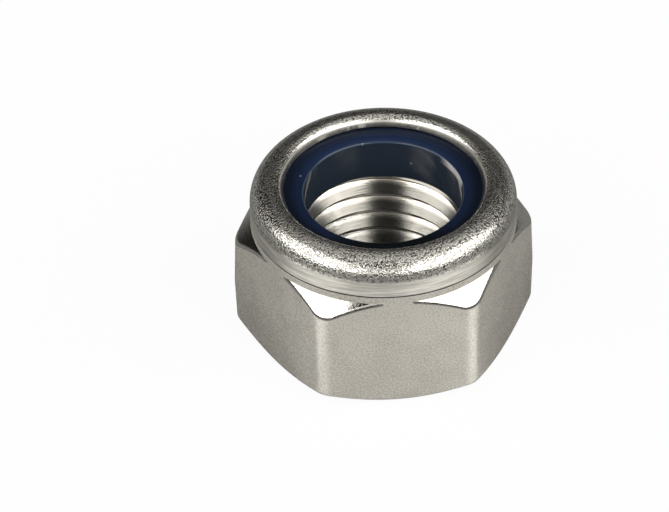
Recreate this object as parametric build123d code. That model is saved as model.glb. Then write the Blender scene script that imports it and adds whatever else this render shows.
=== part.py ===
from build123d import *
import math
import os

# Prevailing-torque hexagon nut with a captive nylon ring, M16 coarse thread, stainless steel.
# The body is cold formed in one piece. Its collar is rolled inwards over the ring, which holds
# the ring for good. The bore is left at the thread's minor diameter.
#
# Frame: origin at the centre of the bearing face, +Z along the thread axis towards the collar,
# one flat square to -Y. Sizes are in millimetres and angles in degrees.

# Thread
THREAD_DIAMETER = 16.0
THREAD_PITCH = 2.0
COUNTERSINK_MARGIN = 0.3           # mouth of the countersink beyond the thread's major radius
COUNTERSINK_ANGLE = 45.0           # between its wall and the bearing face
RUNOUT_SIZE = 0.45                 # chamfer where the thread ends in the floor of the pocket

# Hexagon
ACROSS_FLATS = 24.0
HEX_HEIGHT = 11.7                  # bearing face to the foot of the collar
CORNER_RADIUS = 0.6
BEARING_MARGIN = 0.4               # flats to the rim of the bearing face
FOOT_CHAMFER_ANGLE = 33.0          # between each chamfer and the bearing face
HEAD_CHAMFER_ANGLE = 42.0
HEAD_SHOULDER_RADIUS = 1.5         # where the head chamfer turns down into the corners

# Collar, a little prouder than the flats, which run up through its foot to the forming groove
COLLAR_OVERHANG = 0.05             # beyond the flats
COLLAR_HEIGHT = 4.3                # hexagon to the crest of the rolled rim
COLLAR_WALL = 1.3
GROOVE_RISE = 0.75                 # hexagon to the middle of the groove
GROOVE_DEPTH = 0.15                # of a right-angled vee
ROLL_RADIUS = 2.2                  # outside of the rolled rim
LIP_RADIUS = 0.7                   # where the rim turns down over the crest
LIP_FACE_ANGLE = 68.0              # between the end of the rolled wall and the bearing face
LIP_THICKNESS = 0.9                # crest to the underside of the rim at its opening

# Nylon ring
RING_GRIP = 1.65                   # thread's major diameter less the bore of the ring
RING_SEAT_DEPTH = 1.1              # floor of the ring's pocket below the foot of the collar
RING_DISH = 0.4                    # fall of the ring's top from the rim to the bore
RING_CLEARANCE = 0.05              # between ring and body, apart from the floor it sits on

# A metric internal thread's minor diameter lies this many pitches under its major diameter.
MINOR_DIAMETER_PITCHES = 1.082532

minor_radius = (THREAD_DIAMETER - MINOR_DIAMETER_PITCHES * THREAD_PITCH) / 2
bearing_radius = ACROSS_FLATS / 2 - BEARING_MARGIN
collar_radius = ACROSS_FLATS / 2 + COLLAR_OVERHANG
pocket_radius = collar_radius - COLLAR_WALL
groove_height = HEX_HEIGHT + GROOVE_RISE
seat_height = HEX_HEIGHT - RING_SEAT_DEPTH
crest_height = HEX_HEIGHT + COLLAR_HEIGHT
crest_radius = collar_radius - ROLL_RADIUS
roll_height = crest_height - ROLL_RADIUS
lip_height = crest_height - LIP_THICKNESS


def slope(angle):
    """Rise for each millimetre of run at this angle."""
    return math.tan(math.radians(angle))


def turned(section):
    """Solid turned about the axis from a half section drawn as (radius, height)."""
    return revolve(Plane.XZ * section, Axis.Z)


def hexagon():
    """Hexagon across flats with sharp corners, on the bearing plane."""
    return RegularPolygon(ACROSS_FLATS / 2, 6, major_radius=False)


def lip_arc():
    """Inner edge of the rim, from its crest down to the end face of the rolled wall."""
    centre = (crest_radius, crest_height - LIP_RADIUS)
    return CenterArc(centre, LIP_RADIUS, 90, LIP_FACE_ANGLE)


def rim_opening():
    """Radius of the opening in the rim, at the foot of its conical end face."""
    end_face_top = lip_arc() @ 1
    return end_face_top.X - (end_face_top.Y - lip_height) / slope(LIP_FACE_ANGLE)


def chamfer_envelope():
    """Turned form that chamfers both ends of the hexagon and carries the foot of the collar."""
    corner_reach = hexagon().radius
    foot_rise = (corner_reach - bearing_radius) * slope(FOOT_CHAMFER_ANGLE)
    head_drop = (corner_reach - collar_radius) * slope(HEAD_CHAMFER_ANGLE)
    head_shoulder = (corner_reach, HEX_HEIGHT - head_drop)
    outline = Polyline(
        (0, 0),
        (bearing_radius, 0),
        (corner_reach, foot_rise),
        head_shoulder,
        (collar_radius, HEX_HEIGHT),
        (collar_radius, groove_height),
        (0, groove_height),
        close=True,
    )
    section = make_face(outline)
    corner = section.vertices().sort_by_distance(head_shoulder)[0]
    return turned(fillet(corner, HEAD_SHOULDER_RADIUS))


def hexagon_block():
    """Hexagon with rounded corners, chamfered at both ends, up to the forming groove."""
    prism = extrude(fillet(hexagon().vertices(), CORNER_RADIUS), groove_height)
    return prism & chamfer_envelope()


def collar_blank():
    """Collar above the groove before it is bored out, with the outside of its rolled rim."""
    wall = Polyline(
        (crest_radius, crest_height),
        (0, crest_height),
        (0, groove_height),
        (collar_radius, groove_height),
        (collar_radius, roll_height),
    )
    roll = CenterArc((crest_radius, roll_height), ROLL_RADIUS, 0, 90)
    return turned(make_face([wall, roll]))


def cavity():
    """Countersink, bore and ring pocket as one turned form, closing in under the rolled rim."""
    mouth_radius = THREAD_DIAMETER / 2 + COUNTERSINK_MARGIN
    countersink_depth = (mouth_radius - minor_radius) * slope(COUNTERSINK_ANGLE)
    lip = lip_arc()
    walls = Polyline(
        lip @ 0,
        (0, crest_height),
        (0, 0),
        (mouth_radius, 0),
        (minor_radius, countersink_depth),
        (minor_radius, seat_height - RUNOUT_SIZE),
        (minor_radius + RUNOUT_SIZE, seat_height),
        (pocket_radius, seat_height),
        (pocket_radius, roll_height),
        (rim_opening(), lip_height),
        lip @ 1,
    )
    return turned(make_face([walls, lip]))


def forming_groove():
    """Shallow vee between the hexagon and the collar."""
    bottom = (collar_radius - GROOVE_DEPTH, groove_height)
    upper_edge = (collar_radius, groove_height + GROOVE_DEPTH)
    lower_edge = (collar_radius, groove_height - GROOVE_DEPTH)
    return turned(make_face(Polyline(bottom, upper_edge, lower_edge, close=True)))


def nut_body():
    """Hexagon and rolled collar in one piece."""
    return hexagon_block() + collar_blank() - cavity() - forming_groove()


def nylon_insert():
    """Ring that sits on the pocket floor and fills the pocket up to the underside of the rim."""
    bore_radius = (THREAD_DIAMETER - RING_GRIP) / 2
    outer_radius = pocket_radius - RING_CLEARANCE
    top = lip_height - RING_CLEARANCE
    outline = Polyline(
        (bore_radius, seat_height),
        (outer_radius, seat_height),
        (outer_radius, roll_height - RING_CLEARANCE),
        (rim_opening(), top),
        (bore_radius, top - RING_DISH),
        close=True,
    )
    return turned(make_face(outline))


if __name__ == "__main__":
    os.makedirs("parts", exist_ok=True)
    for node, solid in (("nut_body", nut_body()), ("nylon_insert", nylon_insert())):
        export_step(solid, f"parts/{node}.step")
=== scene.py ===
import math
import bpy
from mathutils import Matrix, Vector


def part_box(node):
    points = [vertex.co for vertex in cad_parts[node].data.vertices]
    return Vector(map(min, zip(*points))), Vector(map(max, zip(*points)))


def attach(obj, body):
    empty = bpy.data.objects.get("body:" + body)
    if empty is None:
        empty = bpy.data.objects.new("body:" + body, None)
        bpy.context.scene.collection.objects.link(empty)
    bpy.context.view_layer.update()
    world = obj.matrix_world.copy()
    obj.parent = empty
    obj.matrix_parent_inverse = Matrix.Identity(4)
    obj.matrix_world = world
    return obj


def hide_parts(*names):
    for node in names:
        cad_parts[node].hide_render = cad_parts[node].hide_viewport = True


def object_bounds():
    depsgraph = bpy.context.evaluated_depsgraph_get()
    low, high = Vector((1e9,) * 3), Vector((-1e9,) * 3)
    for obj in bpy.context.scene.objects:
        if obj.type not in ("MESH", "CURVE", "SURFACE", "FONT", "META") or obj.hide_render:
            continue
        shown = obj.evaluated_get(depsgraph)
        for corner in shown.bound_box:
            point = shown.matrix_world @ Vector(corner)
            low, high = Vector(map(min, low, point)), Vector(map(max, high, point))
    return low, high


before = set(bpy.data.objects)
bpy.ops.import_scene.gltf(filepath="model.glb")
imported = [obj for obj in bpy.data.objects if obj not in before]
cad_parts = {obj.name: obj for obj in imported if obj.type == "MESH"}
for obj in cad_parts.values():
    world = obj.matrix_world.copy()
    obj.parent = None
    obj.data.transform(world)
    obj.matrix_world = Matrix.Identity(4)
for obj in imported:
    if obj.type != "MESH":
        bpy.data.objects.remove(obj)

from types import SimpleNamespace

import bmesh
import bpy
from bpy.props import FloatProperty, FloatVectorProperty, PointerProperty
from mathutils import Vector

bl_info = {
    "name": "Nylon Insert Lock Nut",
    "version": (1, 0, 0),
    "blender": (4, 5, 0),
    "location": "3D View > Sidebar > Lock Nut",
    "description": "Models a hexagon lock nut with a nylon ring, its finishes and a small studio",
    "category": "Add Mesh",
}

# Pieces are modelled with one unit to the millimetre and brought to metres when they are done.
MM = 1000.0
BODY_NODE = "nut_body"
INSERT_NODE = "nylon_insert"
CAD_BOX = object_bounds()
CREST = CAD_BOX[1][2] * MM

SIXTY_SINE = math.sin(math.radians(60))
MINOR_SHARE = 0.541266  # of the pitch, from the major radius to the minor radius

# Small roundings of the body and of the ring's top
BEARING_ROUNDING = 0.25
MOUTH_ROUNDING = 0.08
OPENING_ROUNDING = 0.06
FLAT_ROUNDING = 0.6

# Levels where the corners of the hexagon change, as shares of its height
FOOT_LEVEL = 0.15
WAIST_LEVEL = 0.48
HEAD_LEVEL = 0.86
HEAD_EASE = 0.9  # share of the head's rounding that is reached there
SHOULDER_LEVEL = 0.7  # where the ring's outside starts to lean in, as a share of its height

# How finely round forms are drawn, with arc steps in radians
TURNING_STEPS = 216
THREAD_STEPS = 120
CORNER_STEPS = 8
EDGE_STEPS = 4
LARGE_ROUNDING = 0.5
LARGE_ARC_STEP = 0.13
SMALL_ARC_STEP = 0.3
SMOOTH_ANGLE = math.radians(25)

# How near counts as the same place
WELD = 1e-4  # doubles of one corner
FLUSH = 0.001  # faces in one plane
LEVEL = 0.01  # points at one height
SLIVER = 0.02  # corners that cutting leaves side by side
SORTING_SPOT = (31.7, 47.3, -23.9)  # at a different distance from each corner of the mesh

# The hexagonal cutter
CUTTER_DROP = 2.0  # below the bearing face
CUTTER_SPREAD = 1.4  # its outside over its hole

# The tap
TAP_OVERLAP = 0.35  # inwards from the bore
TAP_TIP = 1 / 16  # flat on its tip, as a share of the pitch
TAP_DROP = 1.3  # pitches below the bearing face
TAP_TURNS = 8

# What counts as a corner of the hexagon, and as an edge to round
CORNER_REACH = 1.08  # how many times farther out than the flats
CORNER_TILT = 0.25  # most that the normal rises or falls
EDGE_TURN = math.radians(14)

BORE_MARGIN = 0.2  # from the thread's major radius to where the bore's surface ends
FLOOR_DROP = 0.01  # under the bearing face, so that the two don't share a plane


# ---------------------------------------------------------------- properties


def length(name, description, default_mm):
    """Property for a length, which is given here in millimetres."""
    return FloatProperty(
        name=name,
        description=description,
        default=default_mm / MM,
        min=0.0,
        precision=5,
        unit="LENGTH",
    )


def angle(name, description, degrees):
    """Property for an angle, which is given here in degrees."""
    return FloatProperty(
        name=name,
        description=description,
        default=math.radians(degrees),
        subtype="ANGLE",
        unit="ROTATION",
    )


def spot(name, description, default_mm):
    """Property for a spot on a piece, which is given here in millimetres."""
    return FloatVectorProperty(
        name=name,
        description=description,
        default=[part / MM for part in default_mm],
        subtype="TRANSLATION",
        unit="LENGTH",
    )


def share(name, description, default):
    """Property for a number from 0 to 1."""
    return FloatProperty(
        name=name,
        description=description,
        default=default,
        min=0.0,
        max=1.0,
        subtype="FACTOR",
    )


def colour(name, description, default):
    """Property for a colour in linear light."""
    return FloatVectorProperty(
        name=name,
        description=description,
        default=default,
        min=0.0,
        max=1.0,
        size=3,
        subtype="COLOR",
    )


def tones(name, description, darkest, lightest):
    """Property for the darkest and lightest grain of a surface, as shares of its tint."""
    return FloatVectorProperty(
        name=name,
        description=description,
        default=(darkest, lightest),
        min=0.0,
        size=2,
    )


def strength(name, description, default):
    """Property for the strength of a light, where 1 shows as white."""
    return FloatProperty(name=name, description=description, default=default, min=0.0)


class LOCKNUT_PG_body(bpy.types.PropertyGroup):
    """Sizes of the steel body."""

    across_flats: length("Across flats", "Width of the hexagon", 24.0)
    hex_height: length("Hexagon height", "Bearing face to the foot of the collar", 11.7)
    bearing_margin: length("Bearing margin", "Flats to the rim of the bearing face", 0.4)
    foot_angle: angle("Foot chamfer", "Slope of the chamfer at the bearing face", 33.0)
    head_angle: angle("Head chamfer", "Slope of the chamfer at the collar", 42.0)
    head_corner: length("Head corner", "Rounding of the corners at the head chamfer", 2.2)
    waist_corner: length("Waist corner", "Rounding of the corners at the waist", 0.75)
    foot_corner: length("Foot corner", "Rounding of the corners at the foot chamfer", 1.2)
    edge_width: length("Edge width", "Rounded border along the edges of the flats", 0.28)
    collar_overhang: length("Collar overhang", "Collar beyond the flats", 0.045)
    collar_wall: length("Collar wall", "Wall of the collar around the ring", 1.3)
    groove_rise: length("Groove rise", "Hexagon to the middle of the forming groove", 0.75)
    groove_depth: length("Groove depth", "Depth of the forming groove", 0.2)
    groove_width: length("Groove width", "Width of the forming groove", 0.16)
    roll_radius: length("Roll radius", "Outside of the rolled rim", 2.1)
    lip_radius: length("Lip radius", "Rounding where the rim turns down", 0.8)
    lip_depth: length("Lip depth", "Crest to the edge of the opening", 0.88)
    lip_slope: angle("Lip slope", "Slope of the rim's inner face", 67.0)
    opening: length("Opening", "Diameter of the opening in the rim", 17.9)
    seat_height: length("Seat height", "Bearing face to the floor of the ring's pocket", 10.6)
    runout: length("Runout", "Chamfer where the thread ends in the pocket", 0.45)
    thread_diameter: length("Thread diameter", "Major diameter", 16.0)
    thread_pitch: length("Thread pitch", "Rise of the thread for one turn", 2.0)
    flank_slope: angle("Flank slope", "Slope of the thread's flanks from the axis", 47.5)
    crest_width: length("Crest width", "Flat on the crests of the thread", 0.11)
    countersink_margin: length("Countersink margin", "Mouth beyond the thread", 0.3)


class LOCKNUT_PG_insert(bpy.types.PropertyGroup):
    """Sizes of the nylon ring."""

    bore: length("Bore", "Diameter of the bore", 14.35)
    top: length("Top", "Bearing face to the flat top", 14.76)
    flat_diameter: length("Flat diameter", "Where the top starts to rise", 16.2)
    rim_diameter: length("Rim diameter", "Where the top passes under the rim", 18.2)
    rim_rise: length("Rim rise", "Rise of the top towards the rim", 0.14)
    edge_radius: length("Edge radius", "Rounding of the edges of the bore", 0.26)


class LOCKNUT_PG_steel(bpy.types.PropertyGroup):
    """Finish of the stainless steel."""

    tint: colour("Tint", "Colour of the cold formed steel", (0.695, 0.667, 0.603))
    thread_tint: colour("Thread tint", "Colour of the cut thread", (0.27, 0.256, 0.225))
    # Painted light at the thread's roots.
    root_light_tint: colour("Root tint", "Colour of the thread's roots", (0.95, 0.9, 0.8))
    flat_tones: tones("Flat tones", "Grain of the flats", 0.76, 1.11)
    # The corner tones are lighter than the flats' tones as a painted highlight.
    corner_highlight_tones: tones("Corner tones", "Grain of the corners", 1.05, 1.42)
    collar_tones: tones("Collar tones", "Drawn marks on the collar", 0.94, 1.38)
    rim_tones: tones("Rim tones", "Pits and crests of the rolled rim", 0.47, 1.28)
    lip_tone: share("Lip tone", "Share of the tint on the rim's inner face", 0.98)
    # Painted shade in the forming groove.
    groove_shade_tone: share("Groove tone", "Share of the tint in the forming groove", 0.1)
    satin: share("Satin", "Roughness of the flats", 0.62)
    collar_satin: share("Collar satin", "Roughness of the collar", 0.4)
    rim_satin: share("Rim satin", "Roughness of the rolled rim", 0.12)
    lip_satin: share("Lip satin", "Roughness of the rim's inner face", 0.3)
    thread_satin: share("Thread satin", "Roughness of the thread", 0.2)
    burnished: share("Burnished", "Roughness of the pressed chamfers and edges", 0.12)
    corner_polish: share("Corner polish", "How much smoother the corners are", 0.15)
    mottle_size: length("Mottle size", "Size of the clouds on the flats", 2.5)
    speckle_size: length("Speckle size", "Size of the grain on the flats", 0.16)
    grain_size: length("Grain size", "Size of the pits on the rolled rim", 0.19)
    tool_mark_size: length("Tool mark size", "Distance between marks on the thread", 0.07)
    speckle_relief: length("Speckle relief", "Height of the grain on the flats", 0.009)
    burnish_relief: length("Burnish relief", "Height of the grain on the chamfers", 0.01)
    streak_relief: length("Streak relief", "Height of the marks on the collar", 0.012)
    dent_relief: length("Dent relief", "Depth of the dents on the rolled rim", 0.018)
    pit_relief: length("Pit relief", "Depth of the pits on the rolled rim", 0.024)
    tool_relief: length("Tool relief", "Height of the marks on the thread", 0.012)


class LOCKNUT_PG_nylon(bpy.types.PropertyGroup):
    """Finish of the nylon."""

    tint: colour("Tint", "Colour of the top at the bore", (0.0098, 0.018, 0.044))
    # The lighter tone on the far side is painted light.
    top_tones: tones("Top tones", "Near and far side of the top", 0.75, 1.7)
    wall_tint: colour("Wall tint", "Colour of the bore", (0.0205, 0.03, 0.045))
    # Painted highlight along the bore's upper edge.
    edge_highlight_tint: colour("Edge tint", "Colour of the bore's upper edge", (0.04, 0.06, 0.095))
    # Painted shade on the top under the rim and on the near side.
    painted_shade_tint: colour("Dark tint", "Colour of the top under the rim", (0.0045, 0.0058, 0.006))
    shade_radius: length("Shade radius", "Where the top starts to darken outwards", 7.6)
    dust_tint: colour("Dust tint", "Colour of the dust", (0.13, 0.16, 0.2))
    speck_size: length("Speck size", "Radius of a speck of dust", 0.16)
    speck_top: spot("Speck on top", "Where the dust lies", (-7.19, 3.02, 14.77))
    speck_edge: spot("Speck at the edge", "Where the dust lies", (-1.14, 7.13, 14.62))
    speck_bore: spot("Speck in the bore", "Where the dust lies", (3.25, 6.4, 12.54))
    # Painted reflections: pale streaks on the bore, far left and far right.
    reflection_tint: colour("Scuff tint", "Colour of the scuffs", (0.58, 0.56, 0.56))
    left_reflection: length("Left scuff", "Height of the left scuff over the middle", 11.7)
    left_reflection_share: share("Left scuff share", "How much the left scuff shows", 0.36)
    right_reflection: length("Right scuff", "Height of the right scuff over the middle", 12.0)
    gloss: share("Gloss", "Roughness of the nylon", 0.07)
    peel_size: length("Peel size", "Size of the faint orange peel", 0.5)
    peel_relief: length("Peel relief", "Height of the orange peel", 0.006)
    refraction: FloatProperty(
        name="Refraction",
        description="Refractive index of the nylon",
        default=1.42,
        min=1.0,
    )


class LOCKNUT_PG_studio(bpy.types.PropertyGroup):
    """Camera, floor and light. Heights of light run from 0, level, to 1, overhead."""

    camera_place: FloatVectorProperty(
        name="Camera place",
        description="Where the camera stands",
        default=(-0.0230031, -0.2302061, 0.2017600),
        subtype="TRANSLATION",
        unit="LENGTH",
    )
    camera_turn: FloatVectorProperty(
        name="Camera turn",
        description="How the camera is turned",
        default=[math.radians(a) for a in (49.930305, 1.084657, -5.500869)],
        subtype="EULER",
        unit="ROTATION",
    )
    lens: FloatProperty(
        name="Lens",
        description="Focal length on a sensor 36 mm wide",
        default=177.96,
        unit="CAMERA",
    )
    floor_size: length("Floor size", "Side of the square floor", 4000.0)
    floor_tint: colour("Floor tint", "Colour of the floor", (0.86, 0.86, 0.85))
    floor_dim: share("Dim floor", "Share of the tint away from the pale sheet", 0.3)
    sheet_near: length("Sheet near", "Axis to the near edge of the pale sheet", 10.0)
    sheet_far: length("Sheet far", "Axis to the far edge of the pale sheet", 42.0)
    # The greyer strip is a painted shadow on the pale sheet, seen in gloss.
    shade_strip_width: length("Card width", "Greyer strip along the middle of the sheet", 17.0)
    shade_strip_shift: length("Card shift", "Middle of the strip left of the axis", 3.0)
    shade_strip_share: share("Card shade", "How much greyer the strip is", 0.4)
    shadow_share: share("Shadow share", "How much of the floor's shadow shows", 0.05)
    gloss_share: share("Gloss share", "How much of the floor's white shows in gloss", 0.31)
    box_light: strength("Box light", "Soft boxes left and right of the camera", 3.1)
    gap_light: strength("Gap light", "Gap between the soft boxes", 0.022)
    ceiling_light: strength("Ceiling light", "Dim ceiling", 0.32)
    back_light: strength("Back light", "Dim side behind the object", 0.024)
    horizon_light: strength("Horizon light", "Faint band along the horizon", 0.15)
    box_foot: share("Box foot", "Height of the boxes' lower edge", 0.24)
    box_head: share("Box head", "Height of the boxes' upper edge", 0.78)
    box_wrap: share("Box wrap", "How far the boxes reach behind the object", 0.35)
    gap_width: share("Gap width", "Half the width of the low gap", 0.2)
    gap_strength: share("Gap strength", "How much the low gap dims the boxes", 0.74)
    high_gap_width: share("High gap width", "Half the width of the high gap", 0.3)
    high_gap_foot: share("High gap foot", "Height where the high gap starts", 0.56)
    ceiling_foot: share("Ceiling foot", "Height where the ceiling starts", 0.67)


# ---------------------------------------------------------------- modelling


def deselect_all():
    """Leaves edit mode and selects nothing."""
    if bpy.context.object and bpy.context.object.mode != "OBJECT":
        bpy.ops.object.mode_set(mode="OBJECT")
    bpy.ops.object.select_all(action="DESELECT")


def activate(piece):
    """Makes this piece the active one and the only one selected."""
    deselect_all()
    bpy.context.view_layer.objects.active = piece
    piece.select_set(True)


def pick_vertices(wanted):
    """Selects the vertices of the mesh in edit mode whose place is wanted."""
    bpy.ops.mesh.select_mode(type="VERT")
    bpy.ops.mesh.select_all(action="DESELECT")
    mesh = bpy.context.edit_object.data
    shape = bmesh.from_edit_mesh(mesh)
    for vertex in shape.verts:
        vertex.select = wanted(vertex.co)
    shape.select_flush(True)
    bmesh.update_edit_mesh(mesh)


def pick_edges(wanted):
    """Selects the edges of the mesh in edit mode that are wanted."""
    bpy.ops.mesh.select_mode(type="EDGE")
    bpy.ops.mesh.select_all(action="DESELECT")
    mesh = bpy.context.edit_object.data
    shape = bmesh.from_edit_mesh(mesh)
    for edge in shape.edges:
        edge.select = wanted(edge)
    bmesh.update_edit_mesh(mesh)


def end_editing():
    """Leaves edit mode with the mesh sorted by distance from an odd spot.

    Otherwise its order differs from run to run, and so does what merging makes of it.
    """
    bpy.context.scene.cursor.location = SORTING_SPOT
    bpy.ops.mesh.select_all(action="SELECT")
    bpy.ops.mesh.sort_elements(
        type="CURSOR_DISTANCE", elements={"VERT", "EDGE", "FACE"}
    )
    bpy.ops.object.mode_set(mode="OBJECT")


def draw_section(corners):
    """Draws a closed half section from (radius, height, rounding), one edge after another."""
    deselect_all()
    bpy.ops.mesh.primitive_plane_add(size=0.1, enter_editmode=True, location=(0, 0, 0))
    bpy.ops.mesh.select_mode(type="VERT")
    bpy.ops.mesh.select_all(action="SELECT")
    bpy.ops.mesh.merge(type="CENTER")
    places = [Vector((radius, 0, height)) for radius, height, _ in corners]
    bpy.ops.transform.translate(value=places[0])
    for start, end in zip(places, places[1:] + places[:1]):
        bpy.ops.mesh.extrude_region_move(TRANSFORM_OT_translate={"value": end - start})
    bpy.ops.mesh.select_all(action="SELECT")
    bpy.ops.mesh.remove_doubles(threshold=WELD)
    for index, (_, _, rounding) in enumerate(corners):
        if not rounding:
            continue
        place = places[index]
        before = places[index - 1] - place
        after = places[(index + 1) % len(places)] - place
        turn = math.pi - before.angle(after)
        arc_step = LARGE_ARC_STEP if rounding > LARGE_ROUNDING else SMALL_ARC_STEP
        pick_vertices(lambda co: (co - place).length < WELD)
        bpy.ops.mesh.bevel(
            offset=rounding * math.tan(turn / 2),
            offset_type="OFFSET",
            segments=max(2, round(turn / arc_step)),
            affect="VERTICES",
            profile=0.5,
        )


def turn_section(name, corners):
    """Turns a half section about the axis into a closed piece."""
    draw_section(corners)
    bpy.ops.mesh.select_all(action="SELECT")
    bpy.ops.mesh.spin(
        steps=TURNING_STEPS, angle=math.tau, center=(0, 0, 0), axis=(0, 0, 1)
    )
    bpy.ops.mesh.select_all(action="SELECT")
    bpy.ops.mesh.remove_doubles(threshold=WELD)
    bpy.ops.mesh.normals_make_consistent(inside=False)
    end_editing()
    piece = bpy.context.object
    piece.name = name
    piece.data.name = name
    return piece


def body_section(sizes):
    """Corners of the body's half section as (radius, height, rounding), in millimetres."""

    def mm(name):
        return getattr(sizes, name) * MM

    flat_distance = mm("across_flats") / 2
    bearing_radius = flat_distance - mm("bearing_margin")
    collar_radius = flat_distance + mm("collar_overhang")
    pocket_radius = collar_radius - mm("collar_wall")
    hex_height = mm("hex_height")
    reach = flat_distance / math.cos(math.pi / 6)
    foot_height = (reach - bearing_radius) * math.tan(sizes.foot_angle)
    head_height = hex_height - (reach - collar_radius) * math.tan(sizes.head_angle)
    groove, depth = hex_height + mm("groove_rise"), mm("groove_depth")
    half_width = mm("groove_width") / 2
    opening = mm("opening") / 2
    lip_edge = CREST - mm("lip_depth")
    lip_corner = opening + mm("lip_depth") / math.tan(sizes.lip_slope)
    seat, runout = mm("seat_height"), mm("runout")
    minor = mm("thread_diameter") / 2 - MINOR_SHARE * mm("thread_pitch")
    mouth = mm("thread_diameter") / 2 + mm("countersink_margin")
    return [
        (mouth, 0, MOUTH_ROUNDING),
        (bearing_radius, 0, BEARING_ROUNDING),
        (reach, foot_height, 0),
        (reach, head_height, 0),
        (collar_radius, hex_height, 0),
        (collar_radius, groove - half_width, 0),
        (collar_radius - depth, groove, 0),
        (collar_radius, groove + half_width, 0),
        (collar_radius, CREST, mm("roll_radius")),
        (lip_corner, CREST, mm("lip_radius")),
        (opening, lip_edge, OPENING_ROUNDING),
        (pocket_radius, CREST - mm("roll_radius"), 0),
        (pocket_radius, seat, 0),
        (minor + runout, seat, 0),
        (minor, seat - runout, 0),
        (minor, mouth - minor, 0),
    ]


def insert_section(sizes):
    """Corners of the ring's half section, between the pocket's floor and the rolled rim."""
    low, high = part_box(INSERT_NODE)
    bore, outside, floor = sizes.bore * MM / 2, high.x * MM, low.z * MM
    top, rounding = sizes.top * MM, sizes.edge_radius * MM
    return [
        (bore, floor, rounding),
        (outside, floor, 0),
        (outside, floor + SHOULDER_LEVEL * (top - floor), 0),
        (sizes.rim_diameter * MM / 2, top + sizes.rim_rise * MM, 0),
        (sizes.flat_diameter * MM / 2, top, FLAT_ROUNDING),
        (bore, top, rounding),
    ]


def corner_loop(flat_distance, height, rounding):
    """Adds a hexagon with rounded corners as a closed wire at this height."""
    deselect_all()
    bpy.ops.mesh.primitive_circle_add(
        vertices=6,
        radius=flat_distance / math.cos(math.pi / 6),
        location=(0, 0, 0),
        enter_editmode=True,
    )
    bpy.ops.transform.rotate(
        value=math.pi / 6, orient_axis="Z", center_override=(0, 0, 0)
    )
    bpy.ops.transform.translate(value=(0, 0, height))
    bpy.ops.mesh.bevel(
        offset=rounding * math.tan(math.pi / 6),
        offset_type="OFFSET",
        segments=CORNER_STEPS,
        affect="VERTICES",
        profile=0.5,
    )
    bpy.ops.object.mode_set(mode="OBJECT")
    return bpy.context.object


def flats_cutter(sizes):
    """Ring with a hexagonal hole, which leaves six flats between corners of varying rounding."""
    flat_distance = sizes.across_flats * MM / 2
    hexagon = sizes.hex_height * MM
    bottom, top = -CUTTER_DROP, (sizes.hex_height + sizes.groove_rise) * MM
    loops = [
        corner_loop(flat_distance, height, rounding * MM)
        for height, rounding in (
            (bottom, sizes.foot_corner),
            (FOOT_LEVEL * hexagon, sizes.foot_corner),
            (WAIST_LEVEL * hexagon, sizes.waist_corner),
            (HEAD_LEVEL * hexagon, HEAD_EASE * sizes.head_corner),
            (top, sizes.head_corner),
        )
    ]
    activate(loops[0])
    for loop in loops:
        loop.select_set(True)
    bpy.ops.object.join()
    bpy.ops.object.mode_set(mode="EDIT")
    bpy.ops.mesh.select_all(action="SELECT")
    bpy.ops.mesh.bridge_edge_loops()
    for height in (bottom, top):
        pick_vertices(lambda co: abs(co.z - height) < LEVEL)
        bpy.ops.mesh.extrude_edges_move()
        bpy.ops.transform.resize(
            value=(CUTTER_SPREAD, CUTTER_SPREAD, 1), center_override=(0, 0, 0)
        )
    pick_edges(lambda edge: edge.is_boundary)
    bpy.ops.mesh.bridge_edge_loops()
    bpy.ops.mesh.select_all(action="SELECT")
    bpy.ops.mesh.normals_make_consistent(inside=False)
    end_editing()
    return bpy.context.object


def thread_tap(sizes):
    """Helical tap for the thread, from under the bearing face up into the ring's pocket."""
    pitch, slope = sizes.thread_pitch * MM, math.tan(sizes.flank_slope)
    minor_radius = sizes.thread_diameter * MM / 2 - MINOR_SHARE * pitch
    root_radius = minor_radius - TAP_OVERLAP
    root_width = pitch - sizes.crest_width * MM + 2 * TAP_OVERLAP / slope
    tip_width = TAP_TIP * pitch
    tip_radius = root_radius + (root_width - tip_width) / 2 * slope
    deselect_all()
    bpy.ops.mesh.primitive_plane_add(size=1, enter_editmode=True, location=(0, 0, 0))
    bpy.ops.transform.rotate(
        value=math.pi / 2, orient_axis="X", center_override=(0, 0, 0)
    )
    for side, radius, width in (
        (-0.5, root_radius, root_width),
        (0.5, tip_radius, tip_width),
    ):
        pick_vertices(lambda co: abs(co.x - side) < LEVEL)
        bpy.ops.transform.resize(value=(1, 1, width), center_override=(0, 0, 0))
        bpy.ops.transform.translate(value=(radius - side, 0, 0))
    bpy.ops.mesh.select_all(action="SELECT")
    bpy.ops.transform.translate(value=(0, 0, -TAP_DROP * pitch))
    bpy.ops.mesh.delete(type="ONLY_FACE")
    bpy.ops.object.mode_set(mode="OBJECT")
    tap = bpy.context.object
    turns = tap.modifiers.new("Turns", "SCREW")
    turns.axis = "Z"
    turns.screw_offset = pitch
    turns.iterations = TAP_TURNS
    turns.steps = THREAD_STEPS
    turns.render_steps = THREAD_STEPS
    bpy.ops.object.modifier_apply(modifier=turns.name)
    bpy.ops.object.mode_set(mode="EDIT")
    pick_edges(lambda edge: edge.is_boundary)
    bpy.ops.mesh.edge_face_add()
    bpy.ops.mesh.select_all(action="SELECT")
    bpy.ops.mesh.normals_make_consistent(inside=False)
    end_editing()
    return tap


def cut(piece, cutter):
    """Cuts the cutter out of the piece and throws the cutter away."""
    activate(piece)
    modifier = piece.modifiers.new("Cut", "BOOLEAN")
    modifier.operation = "DIFFERENCE"
    modifier.solver = "EXACT"
    modifier.object = cutter
    bpy.ops.object.modifier_apply(modifier=modifier.name)
    bpy.data.objects.remove(cutter)


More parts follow.
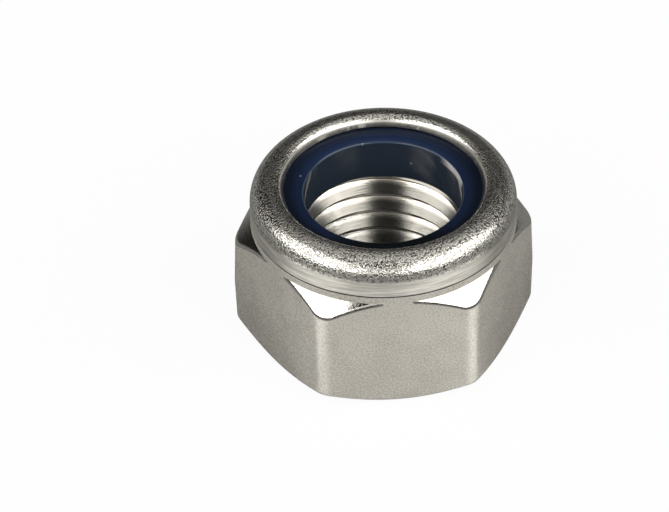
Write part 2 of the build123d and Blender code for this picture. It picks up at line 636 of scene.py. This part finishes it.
def clean(piece, reach=math.inf):
    """Merges the slivers that cutting leaves within this distance from the axis."""
    activate(piece)
    bpy.ops.object.mode_set(mode="EDIT")
    pick_vertices(lambda co: co.xy.length < reach)
    bpy.ops.mesh.remove_doubles(threshold=SLIVER)
    bpy.ops.mesh.select_all(action="SELECT")
    bpy.ops.mesh.dissolve_degenerate(threshold=FLUSH)
    end_editing()


def round_flats(piece, sizes):
    """Rounds the edges where the chamfers meet the flats and the corners between them."""
    flat_distance, top = sizes.across_flats * MM / 2, sizes.hex_height * MM

    def is_side(face):
        upright = abs(face.normal.z)
        out = face.normal.dot(face.verts[0].co)
        is_flat = upright < FLUSH and abs(out - flat_distance) < FLUSH
        reach = face.calc_center_median().xy.length
        is_corner = upright < CORNER_TILT and reach > CORNER_REACH * flat_distance
        return is_flat or is_corner

    def is_border(edge):
        below = min(vertex.co.z for vertex in edge.verts) < top - LEVEL
        sharp = edge.calc_face_angle(0.0) > EDGE_TURN
        return below and sharp and sum(is_side(face) for face in edge.link_faces) == 1

    activate(piece)
    bpy.ops.object.mode_set(mode="EDIT")
    pick_edges(is_border)
    bpy.ops.mesh.bevel(
        offset=sizes.edge_width * MM,
        offset_type="OFFSET",
        segments=EDGE_STEPS,
        profile=0.5,
        affect="EDGES",
    )
    end_editing()


def finish_piece(piece, node, material):
    """Brings a piece to metres, shades it, gives it its body, slot and finish, and hides the CAD
    node it replaces.
    """
    activate(piece)
    bpy.ops.object.mode_set(mode="EDIT")
    bpy.ops.mesh.select_all(action="SELECT")
    bpy.ops.transform.resize(value=[1 / MM] * 3, center_override=(0, 0, 0))
    bpy.ops.object.mode_set(mode="OBJECT")
    bpy.ops.object.shade_smooth_by_angle(angle=SMOOTH_ANGLE)
    weighted = piece.modifiers.new("Weighted normals", "WEIGHTED_NORMAL")
    weighted.mode = "FACE_AREA_WITH_ANGLE"
    weighted.weight = 100
    weighted.keep_sharp = True
    bpy.ops.object.modifier_apply(modifier=weighted.name)
    piece.data.materials.clear()
    piece.data.materials.append(material)
    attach(piece, "root")
    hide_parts(node)


# ---------------------------------------------------------------- shader trees


class Signal:
    """Output socket of a shader tree. Arithmetic on signals adds Math nodes."""

    def __init__(self, tree, socket):
        self.tree = tree
        self.socket = socket

    def math(self, operation, *values):
        return self.tree.node(
            "ShaderNodeMath", {"operation": operation}, dict(enumerate(values))
        )

    def __add__(self, other):
        return self.math("ADD", self, other)

    def __radd__(self, other):
        return self.math("ADD", other, self)

    def __sub__(self, other):
        return self.math("SUBTRACT", self, other)

    def __rsub__(self, other):
        return self.math("SUBTRACT", other, self)

    def __mul__(self, other):
        return self.math("MULTIPLY", self, other)

    def __rmul__(self, other):
        return self.math("MULTIPLY", other, self)

    def __truediv__(self, other):
        return self.math("DIVIDE", self, other)


class Tree:
    """Node tree of a material or world, emptied when it is opened."""

    def __init__(self, owner):
        owner.use_nodes = True
        self.nodes = owner.node_tree.nodes
        self.links = owner.node_tree.links
        self.nodes.clear()

    def node(self, kind, settings=None, inputs=None, output=0):
        """Adds a node, sets it, fills its sockets and returns the output or outputs asked for."""
        made = self.nodes.new(kind)
        for name, value in (settings or {}).items():
            setattr(made, name, value)
        for name, value in (inputs or {}).items():
            if isinstance(value, Signal):
                self.links.new(value.socket, made.inputs[name])
            else:
                made.inputs[name].default_value = value
        if isinstance(output, tuple):
            return [Signal(self, made.outputs[name]) for name in output]
        return Signal(self, made.outputs[output]) if made.outputs else None

    def root(self, value):
        return value.math("SQRT", value)

    def size(self, value):
        return value.math("ABSOLUTE", value)

    def largest(self, first, *others):
        for other in others:
            first = first.math("MAXIMUM", first, other)
        return first

    def above(self, value, level, over):
        """0 up to this level and 1 once the value is this far over it, with a smooth rise."""
        return self.node(
            "ShaderNodeMapRange",
            {"interpolation_type": "SMOOTHSTEP"},
            {"Value": value, "From Min": level, "From Max": level + over},
        )

    def below(self, value, level, over):
        """1 up to this level and 0 once the value is this far over it, with a smooth fall."""
        return 1 - self.above(value, level, over)

    def vector(self, x, y, z):
        return self.node("ShaderNodeCombineXYZ", {}, {0: x, 1: y, 2: z})

    def axes(self, vector):
        """The three parts of a vector."""
        return self.node("ShaderNodeSeparateXYZ", {}, {0: vector}, ("X", "Y", "Z"))

    def millimetres(self):
        """Place on the piece, in millimetres."""
        place = self.node("ShaderNodeTexCoord", output="Object")
        return self.node(
            "ShaderNodeVectorMath",
            {"operation": "MULTIPLY"},
            {0: place, 1: (MM, MM, MM)},
        )

    def tilt(self):
        """How far the surface faces up or down, from 0 for a wall to 1."""
        facing = self.node("ShaderNodeNewGeometry", output="Normal")
        return self.size(self.axes(facing)[2])

    def near(self, place, centre, reach):
        """1 at the centre, a spot on the piece, and 0 from this many millimetres away."""
        gap = self.node(
            "ShaderNodeVectorMath",
            {"operation": "DISTANCE"},
            {0: place, 1: [part * MM for part in centre]},
            "Value",
        )
        return self.below(gap, 0.4 * reach, over=0.6 * reach)

    def noise(self, vector, size, detail=3.0, roughness=0.55):
        """Noise around 0.5 whose blotches have this size in the vector's unit."""
        return self.node(
            "ShaderNodeTexNoise",
            {"noise_dimensions": "3D"},
            {
                "Vector": vector,
                "Scale": 1.0 / size,
                "Detail": detail,
                "Roughness": roughness,
            },
            "Fac",
        )

    def blend(self, factor, first, second):
        """Colour between first and second."""
        return self.node(
            "ShaderNodeMix",
            {"data_type": "RGBA", "clamp_factor": True},
            {0: factor, 6: opaque(first), 7: opaque(second)},
            2,
        )

    def toned(self, factor, tint, tones_of_tint):
        """Colour between the darkest and the lightest tone of a tint."""
        darkest, lightest = tones_of_tint
        return self.blend(factor, shade(tint, darkest), shade(tint, lightest))

    def bump(self, height):
        """Normal of a surface raised by this height in millimetres."""
        return self.node("ShaderNodeBump", {}, {"Height": height, "Distance": 1 / MM})


def opaque(value):
    """A plain colour with full alpha, or the signal as it is."""
    return value if isinstance(value, Signal) else (*value, 1.0)


def shade(tint, factor):
    """A colour made lighter or darker."""
    return tuple(min(1.0, part * factor) for part in tint)


# ---------------------------------------------------------------- steel


def hexagon_reach(tree, x, y):
    """Distance from the axis at right angles to the nearest flat."""
    return tree.largest(
        tree.size(y),
        tree.size(SIXTY_SINE * x + 0.5 * y),
        tree.size(SIXTY_SINE * x - 0.5 * y),
    )


def steel_areas(tree, sizes, x, y, height):
    """Masks from 0 to 1 of the areas of the body whose finish differs."""
    flat_distance, hexagon_top = sizes.across_flats * MM / 2, sizes.hex_height * MM
    groove = hexagon_top + sizes.groove_rise * MM
    rim_foot = CREST - sizes.roll_radius * MM
    thread_radius, opening = sizes.thread_diameter * MM / 2, sizes.opening * MM / 2
    seat = sizes.seat_height * MM
    radius = tree.root(x * x + y * y)

    inside = tree.below(radius, thread_radius + BORE_MARGIN, over=0.4)
    thread = inside * tree.below(height, seat + 0.4, over=0.6)
    # Painted light: the thread's roots get a much lighter colour, making up for the shade there.
    root = tree.above(radius, thread_radius - 0.6, over=0.5)

    rim = tree.above(height, rim_foot, over=0.4)
    lip = rim * tree.below(radius, opening + 0.2, over=0.25)
    grain = (rim - lip) * (0.4 + 0.4 * tree.above(height, rim_foot + 0.4, over=0.9))
    collar = tree.above(height, groove - 0.15, over=0.3) * (1 - rim)

    # Painted shade: a dark band in the forming groove stands in for the shadow there.
    groove_shade = tree.above(height, groove - 0.09, over=0.03)
    groove_shade = groove_shade * tree.below(height, groove + 0.07, over=0.04)
    groove_shade = groove_shade * tree.below(radius, flat_distance, over=0.04) * (1 - inside)

    hexagon = tree.below(height, hexagon_top, over=0.2)
    burnish = tree.above(tree.tilt(), 0.06, over=0.16) * hexagon * (1 - inside)
    # In the middle of a corner the reach is 0.866 of the radius, and on a flat it is more.
    corner = tree.below(hexagon_reach(tree, x, y) / radius, 0.872, over=0.028)
    corner = corner * hexagon * (1 - burnish)
    satin = 1 - tree.largest(rim, thread, burnish)
    return SimpleNamespace(
        thread=thread,
        root=root,
        rim=rim,
        lip=lip,
        grain=grain,
        collar=collar,
        groove_shade=groove_shade,
        burnish=burnish,
        corner=corner,
        satin=satin,
    )


def steel_marks(tree, steel, place, x, y, height):
    """Noise around 0.5 for each kind of mark on the steel."""
    radius = tree.root(x * x + y * y)
    pits = tree.noise(place, steel.grain_size * MM, 2.0, 0.6)
    return SimpleNamespace(
        mottle=tree.noise(place, steel.mottle_size * MM, 2.0),
        speckle=tree.noise(place, steel.speckle_size * MM, 2.0, 0.6),
        # Drawn marks run around the collar, so they are long across and fine in height.
        streaks=tree.noise(tree.vector(0.3 * x, 0.3 * y, 5.0 * height), 1.0, 3.0),
        pits=pits,
        dents=tree.above(pits, 0.4, over=0.14),
        tool=tree.noise(
            tree.vector(radius, 0.0, height), steel.tool_mark_size * MM, 1.0
        ),
    )


def steel_colour(tree, steel, area, marks, height):
    """Base colour: grain on the flats, lightened towards the top as painted light, corners
    lightened as a painted highlight, drawn collar, painted shade in the forming groove, speckled
    rim, and painted light at the thread's roots.
    """
    tint = tuple(steel.tint)
    # Painted light: the flats are made lighter towards the top, where more light falls on them.
    painted_top_light = 0.09 * (tree.above(height, 2.0, over=9.0) - 0.35)
    tone = 0.15 * marks.mottle + 0.85 * marks.speckle + painted_top_light
    grain = tree.above(tone, 0.36, over=0.28)
    streaks = tree.above(marks.streaks, 0.35, over=0.3)
    flats = tree.toned(grain, tint, steel.flat_tones)
    # Painted highlight: the corners get lighter tones than the flats, standing in for the bright
    # bands they reflect.
    corners = tree.toned(grain, tint, steel.corner_highlight_tones)
    base = tree.blend(area.corner, flats, corners)
    base = tree.blend(area.collar, base, tree.toned(streaks, tint, steel.collar_tones))
    # Painted shade in the forming groove.
    base = tree.blend(area.groove_shade, base, shade(tint, steel.groove_shade_tone))
    base = tree.blend(area.rim, base, tree.toned(marks.dents, tint, steel.rim_tones))
    base = tree.blend(area.lip, base, shade(tint, steel.lip_tone))
    # Painted light at the thread's roots.
    thread = tree.blend(area.root, steel.thread_tint, steel.root_light_tint)
    return tree.blend(area.thread, base, thread)


def steel_roughness(steel, area, marks):
    """Roughness: that of the flats, changed where another area takes over."""
    roughness = steel.satin + 0.12 * (marks.speckle - 0.5)
    for mask, here, around in (
        (area.collar, steel.collar_satin, steel.satin),
        (area.rim, steel.rim_satin, steel.satin),
        (area.lip, steel.lip_satin, steel.rim_satin),
        (area.thread, steel.thread_satin, steel.satin),
        (area.burnish, steel.burnished, steel.satin),
    ):
        roughness = roughness + mask * (here - around)
    return roughness - area.corner * steel.corner_polish


def steel_relief(steel, area, marks):
    """Height of the fine marks, in millimetres."""
    relief = area.satin * (steel.speckle_relief * MM) * marks.speckle
    relief = relief + area.collar * (steel.streak_relief * MM) * marks.streaks
    pitted = steel.dent_relief * MM * marks.dents + steel.pit_relief * MM * marks.pits
    relief = relief + area.grain * pitted
    relief = relief + area.thread * (steel.tool_relief * MM) * marks.tool
    return relief + area.burnish * (steel.burnish_relief * MM) * marks.speckle


def steel_finish(steel, sizes):
    """Cold formed stainless steel: satin flats, drawn collar, grainy rolled rim, cut thread."""
    material = bpy.data.materials.new("Stainless steel")
    tree = Tree(material)
    place = tree.millimetres()
    x, y, height = tree.axes(place)
    area = steel_areas(tree, sizes, x, y, height)
    marks = steel_marks(tree, steel, place, x, y, height)
    shader = tree.node(
        "ShaderNodeBsdfPrincipled",
        {},
        {
            "Base Color": steel_colour(tree, steel, area, marks, height),
            "Metallic": 1.0,
            "Roughness": steel_roughness(steel, area, marks),
            "Normal": tree.bump(steel_relief(steel, area, marks)),
        },
    )
    tree.node("ShaderNodeOutputMaterial", {}, {"Surface": shader})
    return material


# ---------------------------------------------------------------- nylon


def painted_reflections(tree, nylon, x, y, height):
    """Painted reflections: two pale streaks on the bore that rise away from the middle, far left
    and far right.
    """
    left = tree.size(height - 0.75 * y - nylon.left_reflection * MM)
    left = tree.below(left, 0.15, over=0.3) * tree.above(y, 0.9, over=0.6)
    left = left * tree.below(x, -6.5, over=0.5)
    right = height - 1.2 * y - nylon.right_reflection * MM
    right = tree.above(right, 0.0, over=0.4) * tree.below(right, 0.8, over=0.5)
    right = tree.largest(right, tree.above(height, 13.9, over=0.35))
    right = right * tree.above(x, 5.6, over=1.0) * tree.above(y, 0.0, over=0.6)
    return tree.largest(nylon.left_reflection_share * left, right)


def nylon_colour(tree, nylon, sizes, place, cloud, wall):
    """Base colour: navy at the bore with painted shade under the rim and on the near side,
    painted light on the far side, a painted highlight on the bore's edge, painted reflections on
    the bore, and dust.
    """
    x, y, height = tree.axes(place)
    radius = tree.root(x * x + y * y)
    bore, top = sizes.bore * MM / 2, sizes.top * MM
    painted_shade_tint = tuple(nylon.painted_shade_tint)
    # Painted light: the top is lighter on the far side, where more light falls on it.
    painted_far_light = tree.above(y, 1.0, over=6.0)
    # Painted shade: the top is nearly black on the near side, where the rim shades it.
    painted_near_shade = 0.95 * tree.below(y, -7.5, over=3.0)
    # Painted shade: the top darkens outwards under the rolled rim.
    painted_rim_shade = radius + 0.6 * (cloud - 0.5)
    painted_rim_shade = 0.6 * tree.above(painted_rim_shade, nylon.shade_radius * MM, over=1.0)
    # Painted highlight: a pale line along the bore's upper edge.
    edge = tree.above(height, top - 0.24, over=0.1)
    edge = edge * tree.below(radius, bore + 0.065, over=0.1)
    inside = tree.below(radius, bore + 0.025, over=0.08)
    # Painted reflections: pale streaks on the bore.
    reflection = inside * painted_reflections(tree, nylon, x, y, height)
    dust = tree.largest(
        *(
            tree.near(place, speck, nylon.speck_size * MM)
            for speck in (nylon.speck_top, nylon.speck_edge, nylon.speck_bore)
        )
    )
    base = tree.toned(0.5 * cloud + 0.5 * painted_far_light, nylon.tint, nylon.top_tones)
    base = tree.blend(tree.largest(painted_rim_shade, painted_near_shade), base, painted_shade_tint)
    base = tree.blend(wall, base, nylon.wall_tint)
    base = tree.blend(edge, base, nylon.edge_highlight_tint)
    base = tree.blend(reflection, base, nylon.reflection_tint)
    return tree.blend(dust, base, nylon.dust_tint)


def nylon_finish(nylon, sizes):
    """Moulded nylon: glossy, with a faint orange peel."""
    material = bpy.data.materials.new("Nylon")
    tree = Tree(material)
    place = tree.millimetres()
    cloud = tree.noise(place, 2.0, 2.0)
    orange_peel = tree.noise(place, nylon.peel_size * MM, 2.0)
    wall = tree.below(tree.axes(place)[2], sizes.top * MM - 0.36, over=0.3)
    shader = tree.node(
        "ShaderNodeBsdfPrincipled",
        {},
        {
            "Base Color": nylon_colour(tree, nylon, sizes, place, cloud, wall),
            "Roughness": nylon.gloss + 0.03 * wall + 0.04 * (cloud - 0.5),
            "IOR": nylon.refraction,
            "Normal": tree.bump(nylon.peel_relief * MM * orange_peel),
        },
    )
    tree.node("ShaderNodeOutputMaterial", {}, {"Surface": shader})
    return material


# ---------------------------------------------------------------- studio


def seen_directly(tree):
    """1 for rays from the camera, from gloss and through glass."""
    return tree.node(
        "ShaderNodeLightPath",
        output=("Is Camera Ray", "Is Glossy Ray", "Is Transmission Ray"),
    )


def camera_axes(studio, x, y):
    """How far something lies towards the camera and to the camera's right."""
    aim = Vector(studio.camera_place).xy.normalized()
    return aim.x * x + aim.y * y, aim.x * y - aim.y * x


def floor_finish(studio):
    """White floor that keeps the shadow. In gloss it is a pale sheet before the nut, with a
    greyer strip of painted shadow along its middle.
    """
    material = bpy.data.materials.new("Floor")
    tree = Tree(material)
    camera, glossy, clear = seen_directly(tree)
    x, y, _ = tree.axes(tree.millimetres())
    ahead, right = camera_axes(studio, x, y)
    near, far = studio.sheet_near * MM, studio.sheet_far * MM
    shade_half_width, shift = studio.shade_strip_width * MM / 2, studio.shade_strip_shift * MM
    sheet = tree.above(ahead, 0.6 * near, over=0.8 * near)
    sheet = sheet * tree.below(ahead, 0.66 * far, over=0.34 * far)
    sheet = sheet * tree.below(tree.size(right), 0.85 * far, over=0.3 * far)
    # Painted shadow: a greyer strip along the middle of the sheet.
    in_shade_strip = tree.below(tree.size(right + shift), 0.8 * shade_half_width, over=0.5 * shade_half_width)
    sheet = sheet * (1 - studio.shade_strip_share * in_shade_strip)
    lit = tree.largest(sheet, camera)
    dim_floor = shade(studio.floor_tint, studio.floor_dim)
    tint = tree.blend(lit, dim_floor, studio.floor_tint)
    paint = tree.node("ShaderNodeBsdfDiffuse", {}, {"Color": tint})
    white = tree.node("ShaderNodeEmission", {}, {"Color": (1, 1, 1, 1)})
    shine = studio.gloss_share * sheet
    white_share = (1 - studio.shadow_share) * camera + shine * glossy + shine * clear
    surface = tree.node("ShaderNodeMixShader", {}, {0: white_share, 1: paint, 2: white})
    tree.node("ShaderNodeOutputMaterial", {}, {"Surface": surface})
    return material


def soft_walls(scene, studio):
    """World of two soft boxes, left and right of the camera, with a dim gap between them."""
    world = bpy.data.worlds.new("Studio")
    scene.world = world
    tree = Tree(world)
    x, y, up = tree.axes(tree.node("ShaderNodeTexCoord", output="Generated"))
    towards_camera, right = camera_axes(studio, x, y)
    sideways = tree.size(right)
    # A little more than 1 keeps the root above zero straight overhead.
    facing = towards_camera / tree.root(1.0001 - up * up)

    boxes = tree.above(up, studio.box_foot, over=0.09)
    boxes = boxes * tree.below(up, studio.box_head, over=0.08)
    boxes = boxes * tree.above(facing, -studio.box_wrap, over=0.33)
    low_gap = studio.gap_strength * tree.below(sideways, studio.gap_width, over=0.08)
    high_gap = tree.below(sideways, studio.high_gap_width, over=0.06)
    high_gap = high_gap * tree.above(up, studio.high_gap_foot, over=0.1)
    boxes = boxes * (1 - tree.largest(low_gap, high_gap))

    overhead = tree.above(up, studio.ceiling_foot, over=0.2)
    ahead = tree.above(towards_camera, 0.1, over=0.3)
    dim = studio.back_light + (studio.ceiling_light - studio.back_light) * overhead
    dim = dim + studio.horizon_light * tree.below(up, 0.05, over=0.09)
    dim = dim * (1.1 + 0.6 * right)
    dim = dim + ahead * (studio.gap_light - dim)
    glow = studio.box_light * (1 + 0.1 * right)
    light = dim + boxes * (glow - dim)

    camera, _, _ = seen_directly(tree)
    white_for_camera = light + camera * (1.0 - light)
    background = tree.node(
        "ShaderNodeBackground",
        {},
        {"Color": (1, 1, 1, 1), "Strength": white_for_camera},
    )
    tree.node("ShaderNodeOutputWorld", {}, {"Surface": background})


# ---------------------------------------------------------------- operators


class LOCKNUT_OT_body(bpy.types.Operator):
    """Turn the steel body, cut its six flats and tap its thread"""

    bl_idname = "locknut.body"
    bl_label = "Nut Body"
    bl_options = {"REGISTER", "UNDO"}

    def execute(self, context):
        sizes = context.scene.lock_nut_body
        body = turn_section("Lock_nut_body", body_section(sizes))
        cut(body, flats_cutter(sizes))
        clean(body)
        round_flats(body, sizes)
        cut(body, thread_tap(sizes))
        clean(body, reach=sizes.thread_diameter * MM / 2 + BORE_MARGIN)
        steel = steel_finish(context.scene.lock_nut_steel, sizes)
        finish_piece(body, BODY_NODE, steel)
        return {"FINISHED"}


class LOCKNUT_OT_insert(bpy.types.Operator):
    """Turn the nylon ring that sits in the collar"""

    bl_idname = "locknut.insert"
    bl_label = "Nylon Insert"
    bl_options = {"REGISTER", "UNDO"}

    def execute(self, context):
        sizes = context.scene.lock_nut_insert
        insert = turn_section("Nylon_insert_ring", insert_section(sizes))
        nylon = nylon_finish(context.scene.lock_nut_nylon, sizes)
        finish_piece(insert, INSERT_NODE, nylon)
        return {"FINISHED"}


class LOCKNUT_OT_studio(bpy.types.Operator):
    """Add the floor, the soft light around the nut and the camera"""

    bl_idname = "locknut.studio"
    bl_label = "Studio"
    bl_options = {"REGISTER", "UNDO"}

    def execute(self, context):
        studio = context.scene.lock_nut_studio
        deselect_all()
        bpy.ops.mesh.primitive_plane_add(
            size=studio.floor_size, location=(0, 0, -FLOOR_DROP / MM)
        )
        floor = context.object
        floor.name = "Floor"
        floor.data.materials.append(floor_finish(studio))
        soft_walls(context.scene, studio)

        bpy.ops.object.camera_add(
            location=studio.camera_place, rotation=studio.camera_turn
        )
        camera = context.object
        camera.name = "Camera"
        camera.data.lens = studio.lens
        camera.data.sensor_width = 36.0
        camera.data.sensor_fit = "HORIZONTAL"
        camera.data.clip_start = 0.001
        camera.data.clip_end = 20.0
        context.scene.camera = camera
        context.scene.view_settings.view_transform = "Standard"
        return {"FINISHED"}


# ---------------------------------------------------------------- panel and registration


GROUPS = {
    "lock_nut_body": LOCKNUT_PG_body,
    "lock_nut_insert": LOCKNUT_PG_insert,
    "lock_nut_steel": LOCKNUT_PG_steel,
    "lock_nut_nylon": LOCKNUT_PG_nylon,
    "lock_nut_studio": LOCKNUT_PG_studio,
}
OPERATORS = (LOCKNUT_OT_body, LOCKNUT_OT_insert, LOCKNUT_OT_studio)


class LOCKNUT_PT_panel(bpy.types.Panel):
    """Sizes, finishes and studio of the lock nut"""

    bl_idname = "LOCKNUT_PT_panel"
    bl_label = "Lock Nut"
    bl_space_type = "VIEW_3D"
    bl_region_type = "UI"
    bl_category = "Lock Nut"

    def draw(self, context):
        for operator, groups in (
            ("locknut.body", ("lock_nut_body", "lock_nut_steel")),
            ("locknut.insert", ("lock_nut_insert", "lock_nut_nylon")),
            ("locknut.studio", ("lock_nut_studio",)),
        ):
            box = self.layout.box()
            box.operator(operator)
            for group in groups:
                settings = getattr(context.scene, group)
                column = box.column(align=True)
                for name in settings.__annotations__:
                    column.prop(settings, name)


def register():
    """Registers the groups of settings, the operators and the panel."""
    for name, group in GROUPS.items():
        bpy.utils.register_class(group)
        setattr(bpy.types.Scene, name, PointerProperty(type=group))
    for operator in OPERATORS:
        bpy.utils.register_class(operator)
    bpy.utils.register_class(LOCKNUT_PT_panel)


def unregister():
    """Takes back what register() did, in reverse."""
    bpy.utils.unregister_class(LOCKNUT_PT_panel)
    for operator in reversed(OPERATORS):
        bpy.utils.unregister_class(operator)
    for name, group in reversed(GROUPS.items()):
        delattr(bpy.types.Scene, name)
        bpy.utils.unregister_class(group)


def main():
    """Builds the nut and its studio."""
    register()
    bpy.ops.locknut.body()
    bpy.ops.locknut.insert()
    bpy.ops.locknut.studio()


if __name__ == "__main__":
    main()
